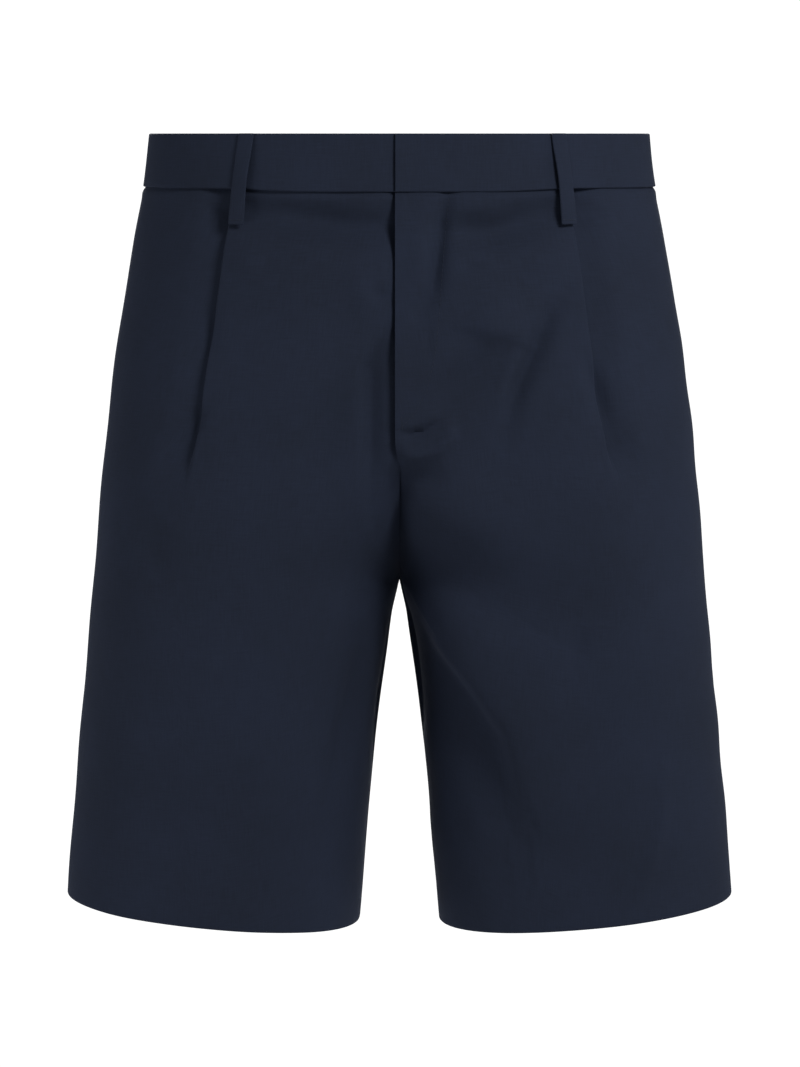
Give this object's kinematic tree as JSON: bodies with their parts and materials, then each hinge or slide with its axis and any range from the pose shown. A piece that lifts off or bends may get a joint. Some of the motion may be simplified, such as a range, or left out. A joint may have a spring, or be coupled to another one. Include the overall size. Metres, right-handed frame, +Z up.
{
  "type": "bermuda shorts",
  "caption": "Knee-length tailored shorts, worn and hollow, with a waistband, belt loops, a hidden fly and a forward pleat on each front",
  "frame": {"origin": "the middle of the waist opening at the top edge of the waistband, where the wearer's waist holds the shorts up", "axes": "+Z up, the front faces -Y, and +X is towards the wearer's left"},
  "size_m": [0.4352, 0.2613, 0.5162],
  "materials": {
    "cloth": "matte navy cloth",
    "thread": "matte navy thread"
  },
  "bodies": {
    "root": {"left_front": "cloth", "right_front": "cloth", "left_back": "cloth", "right_back": "cloth", "left_waistband": "cloth", "right_waistband": "cloth", "belt_loop_front_left": "cloth", "belt_loop_front_right": "cloth", "belt_loop_side_left": "cloth", "belt_loop_side_right": "cloth", "belt_loop_back": "cloth"}
  },
  "joints": []
}
